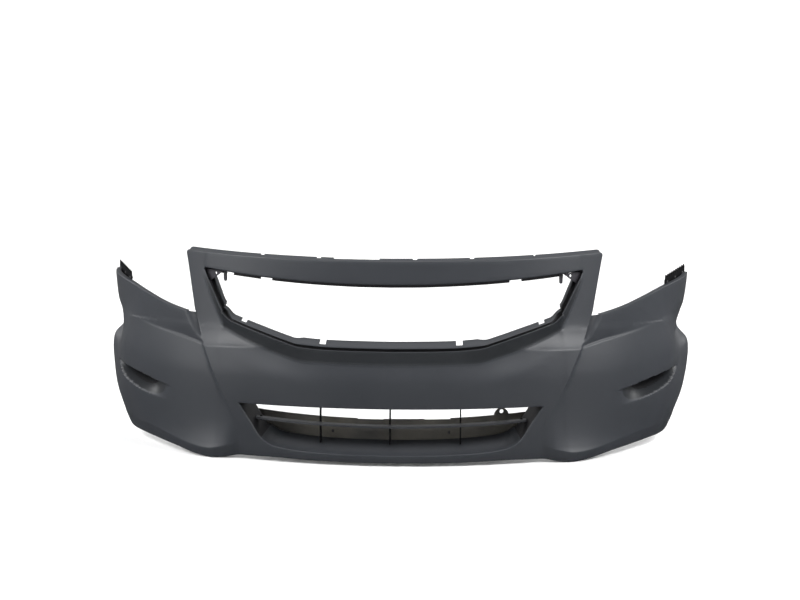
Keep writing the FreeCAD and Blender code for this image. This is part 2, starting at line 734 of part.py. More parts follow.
# ---------------------------------------------------------------- fog covers
for side, name in SIDES.items():
    cover = new_body("fog_cover_" + name)
    face = new_sketch(cover, "fog_cover_%s_face" % name, "XZ_Plane")
    ring(face, [(-52 * side, -20), (40 * side, -8), (46 * side, 20), (-50 * side, 10)],
         {0: (0, -22), 2: (0, 20)})
    pad(cover, face, "fog_cover_%s_pad" % name, dim("web"))
    settle(cover, x=side * 740.0, y=skin_y(768.0, 196.0) + 40.0, z=192.0,
           turn=FreeCAD.Rotation(VECTOR(0, 0, 1), side * 56.0))


# ---------------------------------------------------------------- fasteners
def fastener(spot, pointing, shank):
    """A domed head on a round shank, at a place and pointing along a direction."""
    radius, head = size("fastener_radius") * 0.6, size("head_radius") * 0.75
    pin = Part.makeCylinder(radius, shank, spot, pointing)
    dome = Part.makeSphere(head, VECTOR(0, 0, -head * 0.55), VECTOR(0, 0, 1), -90, 90, 360)
    cap = dome.common(Part.makeCylinder(head, head, VECTOR(0, 0, 0)))
    cap.Placement = FreeCAD.Placement(spot, FreeCAD.Rotation(VECTOR(0, 0, 1), -pointing))
    return pin.fuse(cap).removeSplitter()


def fastener_group(label, places, shank):
    """One node of identical fasteners: places are (spot, direction) pairs."""
    group = doc.addObject("Part::Feature", label)
    group.Shape = Part.makeCompound([fastener(spot, way, shank) for spot, way in places])
    settle(group)


def placed_spot(piece, x, y, z):
    """A point of a settled piece's own frame, in the nose frame."""
    return piece.Placement.multVec(VECTOR(x, y, z)) + VECTOR(0, SETBACK, -LIFT)


def placed_way(piece, x, y, z):
    return piece.Placement.Rotation.multVec(VECTOR(x, y, z))


rivets, screws, cover_screws = [], [], []
for side, name in SIDES.items():
    retainer = doc.getObject("side_retainer_" + name)
    for share in (0.12, 0.5, 0.88):
        x = side * share * size("retainer_long")
        spot = placed_spot(retainer, x, -size("web") - 0.1, size("retainer_tall") * 0.32)
        rivets.append((spot, placed_way(retainer, 0, 1, 0)))
    tab = doc.getObject("corner_tab_" + name)
    screws.append((placed_spot(tab, 0, -size("web") * 0.6 - 0.1, 20.0), placed_way(tab, 0, 1, 0)))
    cover = doc.getObject("fog_cover_" + name)
    for x in (-36.0, 32.0):
        cover_screws.append((placed_spot(cover, x * side, 3.0, 2.0), placed_way(cover, 0, -1, 0)))
fastener_group("retainer_rivets", rivets, 8.0)
fastener_group("bracket_screws", screws, 9.0)
fastener_group("fog_cover_screws", cover_screws, 5.0)

guide_screws = []
for x in (-size("guide_screw_reach"), size("guide_screw_reach")):
    back = size("guide_nose") + size("guide_sweep") * (x / size("guide_reach")) ** 2
    guide_screws.append((VECTOR(x, back - 0.1, size("guide_screw_level")), VECTOR(0, 1, 0)))
fastener_group("guide_screws", guide_screws, 9.0)

blade_clips = []
for side in (-1, 1):
    end = size("blade_nose") + size("blade_sweep") + size("blade_depth") * 0.5
    level = size("blade_level") + size("blade_rise") * 0.93 + 0.3
    spot = VECTOR(side * (size("blade_reach") - 14.0), end, level)
    blade_clips.append((spot, VECTOR(0, 0, -1)))
fastener_group("blade_clips", blade_clips, 11.0)

# ---------------------------------------------------------------- checks and files
doc.recompute()
for item in doc.Objects:
    if "Invalid" in item.State or "Error" in item.State:
        raise RuntimeError("%s did not recompute: %s" % (item.Name, item.State))
for piece in SUBPARTS:
    if piece.Shape.isNull() or not piece.Shape.isValid():
        raise RuntimeError("%s has no valid shape" % piece.Label)

os.makedirs("parts", exist_ok=True)
for piece in SUBPARTS:
    piece.Shape.exportStep("parts/%s.step" % piece.Label)
    box = piece.Shape.BoundBox
    print("%-22s solids %2d volume %9.0f  x %.0f..%.0f y %.0f..%.0f z %.0f..%.0f" % (
        piece.Label, len(piece.Shape.Solids), piece.Shape.Volume,
        box.XMin, box.XMax, box.YMin, box.YMax, box.ZMin, box.ZMax))
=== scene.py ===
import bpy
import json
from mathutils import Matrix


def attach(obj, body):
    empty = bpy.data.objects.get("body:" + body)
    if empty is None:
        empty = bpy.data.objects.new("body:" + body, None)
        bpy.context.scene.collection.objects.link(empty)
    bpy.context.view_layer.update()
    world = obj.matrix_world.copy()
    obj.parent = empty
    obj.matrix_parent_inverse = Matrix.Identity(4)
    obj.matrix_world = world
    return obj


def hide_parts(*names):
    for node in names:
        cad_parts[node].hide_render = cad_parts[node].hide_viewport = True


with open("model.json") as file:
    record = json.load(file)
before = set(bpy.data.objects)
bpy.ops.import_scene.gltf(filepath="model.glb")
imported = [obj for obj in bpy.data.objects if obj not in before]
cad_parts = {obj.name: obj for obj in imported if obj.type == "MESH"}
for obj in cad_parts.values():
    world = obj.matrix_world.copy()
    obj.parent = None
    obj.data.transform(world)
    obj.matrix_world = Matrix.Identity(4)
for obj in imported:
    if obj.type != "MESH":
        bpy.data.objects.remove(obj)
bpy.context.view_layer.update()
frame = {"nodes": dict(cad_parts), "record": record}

import json
import math

import bmesh
import bpy
import numpy as np
from mathutils import Matrix, Vector
from mathutils.geometry import delaunay_2d_cdt
from mathutils.kdtree import KDTree

# Front bumper cover. The skin is worked out in millimetres in the nose frame (X lateral, Y back
# from the nose, Z up from the lowest edge) and turned into metres in the row frame at the end.
MM = 0.001
SETBACK, LIFT = 337.2, 1.1
WALL = 2.8
ROW = np.array([0.0, -SETBACK, LIFT])

# ---------------------------------------------------------------- curves through a few points


def flowing(points, place):
    """A smooth curve through (place, value) points, for one place or an array of them."""
    at = np.array([p[0] for p in points], float)
    value = np.array([p[1] for p in points], float)
    last = len(at) - 1
    low, high = np.maximum(np.arange(last + 1) - 1, 0), np.minimum(np.arange(last + 1) + 1, last)
    slope = (value[high] - value[low]) / (at[high] - at[low])
    place = np.clip(np.asarray(place, float), at[0], at[-1])
    index = np.clip(np.searchsorted(at, place, side="right") - 1, 0, last - 1)
    span = at[index + 1] - at[index]
    t = (place - at[index]) / span
    rise = value[index + 1] - value[index]
    first, second = slope[index] * span, slope[index + 1] * span
    return (value[index] + first * t + (3 * rise - 2 * first - second) * t ** 2
            + (first + second - 2 * rise) * t ** 3)


def straight(points, place):
    """Straight runs through (place, value) points."""
    return np.interp(place, [p[0] for p in points], [p[1] for p in points])


def smooth(share):
    """Eases a share from 0 to 1."""
    share = np.clip(share, 0.0, 1.0)
    return share * share * (3.0 - 2.0 * share)


# ---------------------------------------------------------------- the skin
# Height, half width, depth of the wrap and setback of the nose, from the sill to the crown.
SECTIONS = [
    (0.0, 858.0, 650.0, 14.0),
    (32.0, 876.0, 650.0, 10.0),
    (130.0, 911.0, 651.0, 5.0),
    (240.0, 921.0, 653.0, 0.0),
    (290.0, 924.0, 655.0, 6.0),
    (392.0, 916.0, 672.0, 22.0),
    (512.0, 924.0, 705.0, 34.0),
    (612.0, 931.0, 726.0, 44.0),
]
REACH = [(s[0], s[1]) for s in SECTIONS]
WRAP = [(s[0], s[2]) for s in SECTIONS]
BACK = [(s[0], s[3]) for s in SECTIONS]

# Character lines as (height, half width) or (half width, height) points, and their sizes.
PILLAR_LINE = [(57, 414), (125, 445), (195, 485), (302, 533), (411, 583), (600, 622)]
PILLAR_STEP = [(40, 0), (110, 3), (200, 5), (300, 7), (400, 12), (600, 12)]
PILLAR_BLEND = [(60, 30), (200, 10), (300, 6), (360, 5), (600, 5)]
SHOULDER_LINE = [(530, 316), (611, 337), (666, 347), (723, 358), (800, 376)]
SHELF_LINE = [(320, 326), (400, 322), (470, 318), (545, 316), (640, 316)]
SHELF_DEPTH = [(320, 0), (370, 7), (430, 16), (490, 20), (560, 20)]
HEADER_DEPTH = 20.0
SCOOP_TOP = [(620, 188), (692, 200), (741, 212), (800, 224), (868, 238)]
SCOOP_LOW = [(620, 138), (671, 148), (726, 156), (778, 168), (824, 186), (850, 208), (868, 234)]
SKIRT_LINE = [(414, 57), (460, 42), (510, 34), (587, 41), (669, 54), (755, 66), (870, 68)]
SKIRT_DEPTH = [(420, 0), (462, 20), (500, 34), (560, 32), (640, 18), (720, 9), (870, 5)]
FACET_OUTER = [(0, 287), (180, 290), (272, 297), (491, 377), (512, 416), (535, 465), (552, 511)]
FACET_INNER = [(0, 323), (180, 325), (259, 330), (470, 396), (495, 424), (527, 479), (554, 522)]
FACET_TILT = [(0, 0.14), (200, 0.18), (272, 0.36), (430, 0.54), (491, 0.48), (552, 0.22)]
APRON = [(0, 2), (180, 3), (272, 7), (340, 11), (400, 9), (470, 3), (500, 0)]
FACET_TURN, FACET_FOOT = FACET_OUTER[3]
FACET_END = FACET_OUTER[-1][0]
FACET_REACH = 44.0
OPENING_MIDDLE = 460.0
LEDGE_STEP, LEDGE_WIDTH = 5.5, 8.0
COVE_START, COVE_WIDTH, COVE_DEPTH = 4.0, 88.0, 23.0
LEDGE_FADE, LEDGE_FADE_WIDTH = 600.0, 190.0
SHELF_WIDTH, HEADER_START, HEADER_BLEND = 92.0, 400.0, 80.0
SCOOP_START, SCOOP_RUN, SCOOP_DEPTH = 640.0, 160.0, 72.0
SCOOP_WALL, SCOOP_WALL_WIDTH = 832.0, 35.0
SKIRT_START, SKIRT_BLEND, SKIRT_SWEEP = 425.0, 40.0, 42.0
WAIST_START, WAIST_BLEND = 360.0, 200.0
FLARE_LEAN, FLARE_WIDTH = 0.16, 210.0
REAR_LINE = [(0, 440), (62, 508), (160, 548), (270, 592), (372, 640), (440, 670), (700, 676)]
WAIST = [(20, 16), (90, 29), (150, 36), (240, 44), (320, 47), (365, 29), (405, 10), (465, 2), (540, 0)]
FLARE = [(26, 0), (91, 10), (154, 26), (218, 38), (275, 41), (298, 36), (318, 20), (336, 6), (356, 0)]


def scoop(x, z):
    """Depth of the fog scoop, deepest at its outer end."""
    top, low = flowing(SCOOP_TOP, x), flowing(SCOOP_LOW, x)
    along = np.clip((x - SCOOP_START) / SCOOP_RUN, 0.0, 1.0)
    wall = 1.0 - smooth((x - SCOOP_WALL) / SCOOP_WALL_WIDTH)
    depth = SCOOP_DEPTH * smooth(along) ** 1.1 * wall
    slope = np.clip((z - low) / np.maximum(top - low, 3.0), 0.0, 1.0)
    bowl = 1.0 - (1.0 - slope) ** (1.3 + 1.3 * smooth(along))
    return depth * bowl * (1.0 - smooth((z - top + 4) / 4.0))


def facet(x, z):
    """How far a place lies inside the facet round the grille opening."""
    reach = straight([(b, a) for a, b in FACET_OUTER], z)
    width = np.maximum(reach - straight([(b, a) for a, b in FACET_INNER], z), 0.0)
    beside = np.minimum(reach - x, width) * (z > FACET_FOOT)
    below = np.where(z < OPENING_MIDDLE, z - flowing(FACET_OUTER, np.minimum(x, FACET_END)), 0.0)
    return np.where(x > FACET_TURN, beside, below)


def relief(x, z, y):
    """How far the skin stands out from its plain wrap, in millimetres."""
    x = np.abs(x)
    beyond = x - flowing(PILLAR_LINE, z)
    outside = smooth(beyond / straight(PILLAR_BLEND, z))
    out = -straight(PILLAR_STEP, z) * outside * (1.0 - smooth(beyond / 190.0))
    # The shoulder: a thin ledge on the wing, a broad shelf at the foot of the pillar.
    ledge = z - flowing(SHOULDER_LINE, x)
    fade = 1.0 - smooth((x - LEDGE_FADE) / LEDGE_FADE_WIDTH)
    leaning = 1.0 - (1.0 - np.clip((ledge - COVE_START) / COVE_WIDTH, 0.0, 1.0)) ** 2
    cove = LEDGE_STEP * smooth(ledge / LEDGE_WIDTH) - COVE_DEPTH * leaning
    out -= cove * smooth(beyond / 12.0) * fade
    above = z - flowing(SHELF_LINE, x)
    rising = 1.0 - (1.0 - np.clip((above - 2.0) / SHELF_WIDTH, 0.0, 1.0)) ** 2.4
    shelf = flowing(SHELF_DEPTH, x)
    shelf = shelf + (HEADER_DEPTH - shelf) * smooth((z - HEADER_START) / HEADER_BLEND)
    out -= shelf * rising * smooth((above + 4.0) / 14.0) * (1.0 - outside)
    # The facet round the grille opening leans forward towards the opening.
    within = facet(x, z)
    apron = flowing(APRON, x) * np.where(within < 0, 1.0 - smooth(-within / 70.0), 1.0)
    out -= apron * (1.0 - smooth((z - 420.0) / 60.0))
    tilt = straight(FACET_TILT, np.minimum(x, FACET_END))
    out += tilt * np.clip(within, 0.0, FACET_REACH) + 1.2 * np.exp(-(within / 3.0) ** 2)
    # The skirt stands out, and the skin above it sweeps down onto it.
    skirt = z - flowing(SKIRT_LINE, x)
    sweep = flowing(SKIRT_DEPTH, x) * smooth((x - SKIRT_START) / SKIRT_BLEND)
    out += sweep * np.where(skirt > 0, np.exp(-np.maximum(skirt, 0.0) / SKIRT_SWEEP), 1.0)
    out -= scoop(x, z)
    # The wheel arch flare and the waist above it.
    ahead = np.maximum(0.0, straight(REAR_LINE, z) - y)
    out -= flowing(WAIST, z) * smooth((y - WAIST_START) / WAIST_BLEND)
    out += flowing(FLARE, z + FLARE_LEAN * ahead) * (1.0 - smooth(ahead / FLARE_WIDTH)) ** 1.5
    return out


def wrap_point(turn, z):
    """A point of the plain wrap."""
    reach, wrap, back = flowing(REACH, z), flowing(WRAP, z), flowing(BACK, z)
    return np.stack([reach * np.sin(turn), back + wrap * (1 - np.cos(turn)), z], -1)


def plain_skin(turn, z):
    """A point of the plain wrap and the way out from it."""
    point = wrap_point(turn, z)
    run = wrap_point(turn + 0.004, z) - wrap_point(turn - 0.004, z)
    rise = wrap_point(turn, z + 1.0) - wrap_point(turn, z - 1.0)
    normal = np.cross(run, rise)
    normal /= np.linalg.norm(normal, axis=-1, keepdims=True)
    return point, normal


def skin(turn, z):
    """Points of the outer skin for arrays of turn (radians round the wrap) and height."""
    turn, z = np.asarray(turn, float), np.asarray(z, float)
    point, normal = plain_skin(turn, z)
    return point + normal * relief(point[..., 0], z, point[..., 1])[..., None]


def skin_normal(turn, z):
    """The way out from the finished skin."""
    run = skin(turn + 0.002, z) - skin(turn - 0.002, z)
    rise = skin(turn, z + 1.5) - skin(turn, z - 1.5)
    normal = np.cross(run, rise)
    return normal / np.linalg.norm(normal, axis=-1, keepdims=True)


def turn_at(x, z):
    """The turn at which the plain wrap passes a front-view place."""
    return np.arcsin(np.clip(np.asarray(x, float) / flowing(REACH, z), -0.9995, 0.9995))


def turn_back(y, z):
    """The turn at which the plain wrap passes a depth."""
    return np.arccos(np.clip(1.0 - (y - flowing(BACK, z)) / flowing(WRAP, z), -0.999, 0.999))


# ---------------------------------------------------------------- outlines in the flat domain
# The flat domain is (turn * ROUND, height): nearly true lengths, so triangles come out even.
ROUND = 800.0
STEP = 5.5


def resample(points, step=STEP, flow=True):
    """Evenly spaced points along a path through a few (u, v) points."""
    points = np.array(points, float)
    chord = np.r_[0.0, np.cumsum(np.linalg.norm(np.diff(points, axis=0), axis=1))]
    fine = np.linspace(0, chord[-1], 400)
    if flow and len(points) > 2:
        path = np.stack([flowing(list(zip(chord, points[:, k])), fine) for k in (0, 1)], -1)
    else:
        path = np.stack([np.interp(fine, chord, points[:, k]) for k in (0, 1)], -1)
    length = np.r_[0.0, np.cumsum(np.linalg.norm(np.diff(path, axis=0), axis=1))]
    count = max(2, int(round(length[-1] / step)) + 1)
    even = np.linspace(0, length[-1], count)
    return np.stack([np.interp(even, length, path[:, k]) for k in (0, 1)], -1)


def flat(front_points):
    """Front-view (x, z) points in the flat domain."""
    return [(turn_at(x, z) * ROUND, z) for x, z in front_points]


def flat_side(side_points):
    """Side-view (y, z) points in the flat domain."""
    return [(turn_back(y, z) * ROUND, z) for y, z in side_points]


def chain(pieces):
    """Joins paths end to end, dropping repeated ends; returns the points and their piece names."""
    points, names = [], []
    for name, path in pieces:
        path = path if not points else path[1:]
        points += [tuple(p) for p in path]
        names += [name] * len(path)
    return points, names


def rounded(points, names, corners, radius):
    """Eases the path near the given corner places by averaging along it."""
    points = np.array(points)
    result = points.copy()
    for corner in corners:
        near = np.linalg.norm(points - np.array(corner), axis=1)
        centre = int(np.argmin(near))
        reach = max(1, int(radius / STEP))
        for i in range(centre - 2 * reach, centre + 2 * reach + 1):
            if 0 < i < len(points) - 1:
                low, high = max(0, i - reach), min(len(points), i + reach + 1)
                result[i] = points[low:high].mean(axis=0)
    return [tuple(p) for p in result], names


def mirrored_loop(points, names):
    """Adds the left half of a loop whose right half runs from centre line to centre line."""
    left = [(-u, v) for u, v in reversed(points[1:-1])]
    return np.array(points + left), names + list(reversed(names[1:-1]))


HEADER_CENTRE, HEADER_CORNER, HEADER_REACH = 570.0, 588.0, 618.0
OPENING_HEAD, OPENING_RISE, OPENING_REACH = 512.0, 34.0, 560.0


def header_level(x):
    """Height of the header's top edge."""
    return HEADER_CENTRE + (HEADER_CORNER - HEADER_CENTRE) * (abs(x) / HEADER_REACH) ** 2


def opening_head(x):
    """Height of the grille opening's top edge."""
    return OPENING_HEAD + OPENING_RISE * (abs(x) / OPENING_REACH) ** 2


BOTTOM = [(0, 11), (200, 12), (330, 14), (400, 12), (450, 11), (500, 12), (555, 17), (615, 23),
          (700, 28), (772, 33)]
PILLAR_EDGE = [(HEADER_REACH, HEADER_CORNER), (604, 515), (590, 440), (583, 411)]
WING_TOP = [(583, 411), (610, 416), (672, 431), (755, 457), (822, 477), (880, 487)]
TIP = (676, 493)
SEAM = [TIP, (672, 466), (670, 440)]
ARCH = [(670, 440), (640, 372), (592, 270), (548, 160), (508, 62), (470, 34)]
INTAKE_LOW = [(0, 28), (150, 29), (270, 34), (336, 44), (372, 62)]
INTAKE_SIDE = [(372, 62), (405, 114), (438, 166)]
INTAKE_TOP = 166.0
OUTER_ROUNDING, FACET_ROUNDING, INTAKE_HEAD_ROUNDING, INTAKE_FOOT_ROUNDING = 5.6, 14.0, 6.0, 20.0


def outer_loop():
    """The outline of the skin, from the header round the wing, the arch and the bottom."""
    head = flat([(x, header_level(x)) for x in (0, 200, 400, 560, HEADER_REACH)])
    bottom_end = flat_side(ARCH[-1:])[0]
    bottom = [bottom_end] + flat([(x, z) for x, z in reversed(BOTTOM)])
    wing = flat(WING_TOP) + [flat_side([TIP])[0]]
    pieces = [
        ("header", resample(head)),
        ("pillar", resample(flat(PILLAR_EDGE))),
        ("wing", resample(wing)),
        ("seam", resample(flat_side(SEAM))),
        ("arch", resample(flat_side(ARCH))),
        ("bottom", resample(bottom)),
    ]
    points, names = chain(pieces)
    corners = [flat(PILLAR_EDGE[:1])[0], flat_side([TIP])[0], bottom_end]
    points, names = rounded(points, names, corners, OUTER_ROUNDING)
    return mirrored_loop(points, names)


def grille_loop():
    """The edge of the grille opening."""
    low = flat(FACET_INNER[:3])
    slant = flat([(259, 330), (365, 363), (470, 396)])
    side = flat([(470, 396), (495, 424), (527, 479), (556, 530)])
    corner = flat([(556, 530), (560, 538), (556, opening_head(556))])
    head = flat([(x, opening_head(x)) for x in (556, 430, 270, 110, 0)])
    points, names = chain([("low", resample(low)), ("slant", resample(slant, flow=False)),
                           ("side", resample(side)), ("corner", resample(corner, 4.0)),
                           ("head", resample(head))])
    points, names = rounded(points, names, [low[-1], side[0]], FACET_ROUNDING)
    return mirrored_loop(points, names)


def intake_loop():
    """The edge of the lower intake."""
    low, side = flat(INTAKE_LOW), flat(INTAKE_SIDE)
    head = flat([(x, INTAKE_TOP) for x in (438, 300, 150, 0)])
    points, names = chain([("floor", resample(low)), ("cheek", resample(side)),
                           ("roof", resample(head))])
    points, names = rounded(points, names, [side[-1]], INTAKE_HEAD_ROUNDING)
    points, names = rounded(points, names, [side[0]], INTAKE_FOOT_ROUNDING)
    return mirrored_loop(points, names)


def crease_rows(points, offsets, step=6.0):
    """Points in rows beside a character line, so that the mesh follows it."""
    path = resample(points, step)
    along = np.gradient(path, axis=0)
    along /= np.linalg.norm(along, axis=1, keepdims=True)
    across = np.stack([-along[:, 1], along[:, 0]], -1)
    return np.concatenate([path + across * offset for offset in offsets])


def inside(points, loop):
    """Which points lie inside a closed loop."""
    x, y = points[:, 0][:, None], points[:, 1][:, None]
    ax, ay = loop[:, 0][None], loop[:, 1][None]
    bx, by = np.roll(loop[:, 0], -1)[None], np.roll(loop[:, 1], -1)[None]
    crosses = (ay > y) != (by > y)
    place = ax + (y - ay) * (bx - ax) / np.where(by == ay, 1e-9, by - ay)
    return (crosses & (x < place)).sum(axis=1) % 2 == 1


# ---------------------------------------------------------------- returns behind the edges
# Each return is a path of (back, aside) steps from the rounded edge: back is how far behind the
# edge, aside how far towards the hole (or beyond the outline), both in millimetres.
RETURNS = {
    "low": [(4, 0), (16, -1), (18, 5), (8, 7), (10, 9), (24, 13), (40, 18), (54, 22)],
    "slant": [(4, 0), (16, -1), (18, 4), (8, 6), (10, 7), (24, 10), (40, 12), (54, 15)],
    "side": [(6, 0), (34, 0), (36, 11), (22, 14), (23, 15), (32, 16), (42, 17), (54, 18)],
    "corner": [(6, 0), (24, 0), (26, 4), (24, 7), (25, 8), (30, 9), (34, 9), (38, 9)],
    "head": [(4, 0), (9, 0), (14, 0), (19, 0), (23, 1), (24, 4), (24, 7), (24, 10)],
    "floor": [(8, 0), (22, 3), (38, 7), (54, 11), (70, 15), (86, 19), (102, 23), (116, 26)],
    "cheek": [(8, 1), (20, 3), (32, 6), (44, 9), (56, 12), (68, 15), (78, 18), (88, 21)],
    "roof": [(6, 1), (12, 1), (20, 1), (28, 0), (36, -1), (44, -2), (52, -3), (58, -3)],
    "header": [(4, 0), (7, 0), (10, 1), (13, 2), (16, 3), (19, 4), (22, 5), (25, 7)],
    "pillar": [(3, 0), (6, 0), (9, 0), (12, 0), (15, 0), (18, 0), (20, 0), (22, 0)],
    "wing": [(2, 0), (4, 0), (6, 0), (8, 0), (10, 0), (12, 0), (13, 0), (14, 0)],
    "seam": [(2, 0), (4, 0), (5, 0), (6, 0), (8, 0), (9, 0), (11, 0), (12, 0)],
    "arch": [(2, 0), (4, 0), (6, 0), (8, 0), (11, 0), (13, 0), (16, 0), (18, 0)],
    "bottom": [(2, 0), (5, 0), (8, 0), (11, 1), (14, 1), (17, 2), (20, 2), (22, 3)],
}
# Strips of each return, first and last counted from the edge, that take the dark plastic as painted shade
# inside the openings.
# GAPS: cut into the last strips of a return, as (centre, half length) along X.
SHADED_STRIPS = {"low": (4, 7), "slant": (4, 7), "side": (4, 8), "corner": (4, 12), "head": (7, 12),
        "cheek": (4, 12), "roof": (4, 12)}
NEVER = (99, 99)
GAPS = {
    "header": [(-373, 5), (-207, 5), (-98, 66), (67, 5), (225, 5), (403, 5)],
    "head": [(-470, 13), (-355, 16), (355, 16), (505, 13)],
    "low": [(-190, 9), (190, 9)],
    "slant": [(-425, 9), (425, 9)],
}
DRAWN_BACK = {"low", "slant", "side", "corner", "head", "floor", "cheek", "roof", "header"}
EDGE_RADIUS = {"floor": 3.5, "cheek": 4.0, "roof": 2.5, "wing": 2.0, "seam": 2.0, "arch": 2.5,
               "pillar": 3.0, "header": 4.0, "bottom": 3.5, "low": 1.2, "slant": 1.2, "side": 1.2}
BEND_STEPS = 4


def even_out(values, reach):
    """Averages round a closed loop."""
    total = sum(np.roll(values, shift, axis=0) for shift in range(-reach, reach + 1))
    return total / (2 * reach + 1)


def return_rings(loop, names, hole):
    """Rings of points that turn over the edge and run back from it."""
    turn, z = loop[:, 0] / ROUND, loop[:, 1]
    edge, normal = skin(turn, z), skin_normal(turn, z)
    along = np.roll(edge, -1, axis=0) - np.roll(edge, 1, axis=0)
    along /= np.linalg.norm(along, axis=1, keepdims=True)
    aside = np.cross(along, normal)
    aside /= np.linalg.norm(aside, axis=1, keepdims=True)
    step = edge + aside * 2.0
    moved = np.stack([(turn_at(p[:, 0], p[:, 2]) * ROUND, p[:, 2]) for p in (edge, step)])
    flip = inside(loop + (moved[1] - moved[0]).T, loop) != hole
    if flip.mean() > 0.5:
        aside = -aside
    drawn = np.array([1.0 if n in DRAWN_BACK else 0.0 for n in names])[:, None]
    drawn = even_out(drawn, 3)
    back = -normal * (1 - drawn) + np.array([0.0, 1.0, 0.0]) * drawn
    back /= np.linalg.norm(back, axis=1, keepdims=True)
    radius = even_out(np.array([EDGE_RADIUS.get(n, 3.0) for n in names])[:, None], 4)
    aside = even_out(aside, 1)
    aside /= np.linalg.norm(aside, axis=1, keepdims=True)
    rings = []
    for k in range(1, BEND_STEPS + 1):
        angle = 0.5 * math.pi * k / BEND_STEPS
        rings.append(edge - normal * radius * (1 - math.cos(angle)) + aside * radius * math.sin(angle))
    start = rings[-1]
    paths = even_out(np.array([RETURNS[n] for n in names], float), 2)
    free = aside - (aside * back).sum(axis=1)[:, None] * back
    for k in range(paths.shape[1]):
        rings.append(start + back * paths[:, k, 0][:, None] + free * paths[:, k, 1][:, None])
    return rings


# ---------------------------------------------------------------- mesh making


def add_mesh(name, vertices, faces, material):
    """A mesh piece from millimetre points of the nose frame; it rides on the root body."""
    mesh = bpy.data.meshes.new(name)
    mesh.from_pydata([tuple(v) for v in (np.asarray(vertices) + ROW) * MM], [], faces)
    mesh.update()
    mesh.polygons.foreach_set("use_smooth", [True] * len(mesh.polygons))
    piece = bpy.data.objects.new(name, mesh)
    bpy.context.scene.collection.objects.link(piece)
    mesh.materials.append(material)
    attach(piece, "root")
    return piece


# Rows of points lie beside each character line, at these offsets across it.
CREASES = [
    ([(x, z) for z, x in PILLAR_LINE], (-4, -1.5, 0.5, 2.5, 4.5, 7, 11)),
    (SHOULDER_LINE, (-4, -1, 1.5, 4, 7, 10, 13, 17, 22)),
    (SHELF_LINE[:4], (-6, -3, 0, 3, 6, 10, 14)),
    (SCOOP_TOP, (-9, -6, -4, -2, 0, 2, 5)),
    (SCOOP_LOW, (-5, -2, 0, 2.5, 6)),
    (SKIRT_LINE, (-8, -5, -2, 0, 2, 5, 8, 12)),
    (FACET_OUTER, (-7, -4.5, -2.2, 0, 2.2, 4.5, 7)),
]
SPACING = 9.0
IN_SCOOP = 2.0
# Scoop depths past which faces take painted shade: the darker primer past the first, the dark plastic past
# the second.
SHADE_PRIMER_DEPTH, DEEP_SHADE_DEPTH = 5.0, 30.0


def front_place(points):
    """Half width and height of flat-domain points, as the character lines use them."""
    return np.abs(flowing(REACH, points[:, 1]) * np.sin(points[:, 0] / ROUND)), points[:, 1]


def clear_of(points, others, gap):
    """Which points lie further than gap from all the others."""
    tree = KDTree(len(others))
    for i, p in enumerate(others):
        tree.insert((p[0], p[1], 0.0), i)
    tree.balance()
    return np.array([tree.find((p[0], p[1], 0.0))[2] > gap for p in points])


def thin(points, gap):
    """Drops points closer than gap to one already kept."""
    kept, cells = [], {}
    around = [(a, b) for a in (-1, 0, 1) for b in (-1, 0, 1)]
    for p in points:
        key = (int(p[0] // gap), int(p[1] // gap))
        near = [q for a, b in around for q in cells.get((key[0] + a, key[1] + b), [])]
        if all((p[0] - q[0]) ** 2 + (p[1] - q[1]) ** 2 > gap * gap for q in near):
            kept.append(p)
            cells.setdefault(key, []).append(p)
    return np.array(kept)


def free_points(loops):
    """Points of the skin between its edges: rows along the creases, then a grid, finer in the scoops."""
    edges = np.concatenate([loop for loop, _ in loops])
    rows = []
    for line, offsets in CREASES:
        right = crease_rows(flat(line), offsets)
        rows += [right, right * np.array([-1.0, 1.0])]
    rows = thin(np.concatenate(rows), 1.6)
    rows = rows[clear_of(rows, edges, 2.4)]
    us = np.arange(-1300, 1300, SPACING)
    vs = np.arange(-5, 600, SPACING * 0.866)
    grid = np.array([(u + (SPACING / 2 if j % 2 else 0.0), v) for j, v in enumerate(vs) for u in us])
    hollow = scoop(*front_place(grid)) > IN_SCOOP
    third = SPACING / 3.0
    shifts = [(a * third, b * third) for a in (-1, 0, 1) for b in (-0.8, 0, 0.8)]
    grid = np.concatenate([grid[~hollow]] + [grid[hollow] + np.array(shift) for shift in shifts])
    grid = grid[inside(grid, loops[0][0])]
    taken = np.concatenate([rows, edges])
    hollow = scoop(*front_place(grid)) > IN_SCOOP
    grid = grid[clear_of(grid, taken, 4.6) | (hollow & clear_of(grid, taken, 1.6))]
    free = np.concatenate([rows, grid])
    return free[on_sheet(free, loops)]


def on_sheet(points, loops):
    """Which flat-domain points lie inside the outline and outside the openings."""
    keep = inside(points, loops[0][0])
    for loop, _ in loops[1:]:
        keep &= ~inside(points, loop)
    return keep


def flat_triangles(loops):
    """The flat sheet as points and triangles, with the point numbers of each loop."""
    points, edges, spans = [], [], []
    for loop, _ in loops:
        start, count = len(points), len(loop)
        points += [tuple(p) for p in loop]
        edges += [(start + i, start + (i + 1) % count) for i in range(count)]
        spans.append((start, count))
    points += [tuple(p) for p in free_points(loops)]
    vectors = [Vector(p) for p in points]
    out, _, faces, origin, _, _ = delaunay_2d_cdt(vectors, edges, [], 0, 1e-6)
    out = np.array([tuple(v) for v in out])
    where = {source: index for index, sources in enumerate(origin) for source in sources}
    good = on_sheet(np.array([out[list(face)].mean(axis=0) for face in faces]), loops)
    faces = [tuple(face) for face, keep_it in zip(faces, good) if keep_it]
    rims = [[where[start + i] for i in range(count)] for start, count in spans]
    return out, faces, rims


